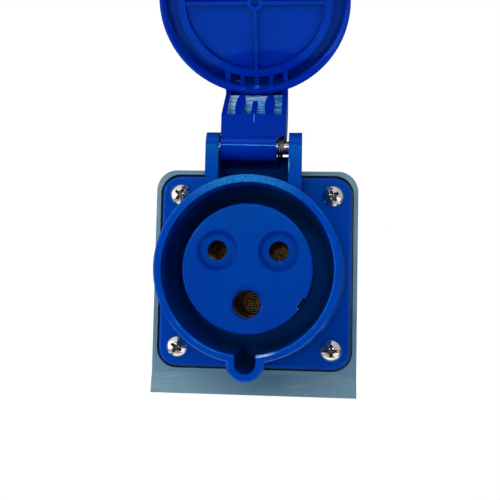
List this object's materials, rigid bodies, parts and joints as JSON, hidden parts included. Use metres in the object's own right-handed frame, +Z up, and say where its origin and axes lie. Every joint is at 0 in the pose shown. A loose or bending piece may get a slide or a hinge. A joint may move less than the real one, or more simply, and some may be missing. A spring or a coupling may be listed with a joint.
{
  "type": "industrial socket",
  "caption": "Surface-mounted industrial power socket: grey wall box with a sloping front, blue shrouded outlet with key slot, brass contacts and a sprung hinged lid standing open.",
  "frame": {"origin": "centre of the wall fixing holes, on the wall face of the box", "axes": "+Y into the wall, +Z up, +X to the right seen from the front; the socket faces -Y and a little down"},
  "size_m": [0.0642, 0.1068, 0.1329],
  "materials": {
    "grey_plastic": "satin moulded",
    "blue_plastic": "semi-gloss moulded",
    "carrier_plastic": "semi-gloss moulded",
    "lid_plastic": "gloss moulded",
    "pale_plastic": "matt moulded",
    "black_rubber": "matt",
    "contact_brass": "turned, dull",
    "spring_steel": "drawn wire",
    "plated_steel": "zinc plated",
    "bright_plating": "bright nickel plated"
  },
  "bodies": {
    "socket": {"wall_box": "grey_plastic", "cable_grommet": "black_rubber", "flange_gasket": "black_rubber", "socket_housing": "blue_plastic", "contact_carrier": "carrier_plastic", "carrier_back_plate": "pale_plastic", "line_contact": "contact_brass", "neutral_contact": "contact_brass", "earth_contact": "contact_brass", "line_contact_spring": "spring_steel", "neutral_contact_spring": "spring_steel", "earth_contact_spring": "spring_steel", "terminal_screws": "plated_steel", "carrier_screws": "plated_steel", "flange_screws": "bright_plating", "hinge_pin": "plated_steel", "lid_spring": "spring_steel"},
    "lid": {"hinged_lid": "lid_plastic"}
  },
  "joints": [
    {"name": "lid_hinge", "type": "hinge", "parent": "socket", "child": "lid", "pos_m": [0, -0.06254, 0.03555], "axis": [1, 0, 0], "range_deg": [0, 141], "deforming": ["lid_spring"]}
  ]
}
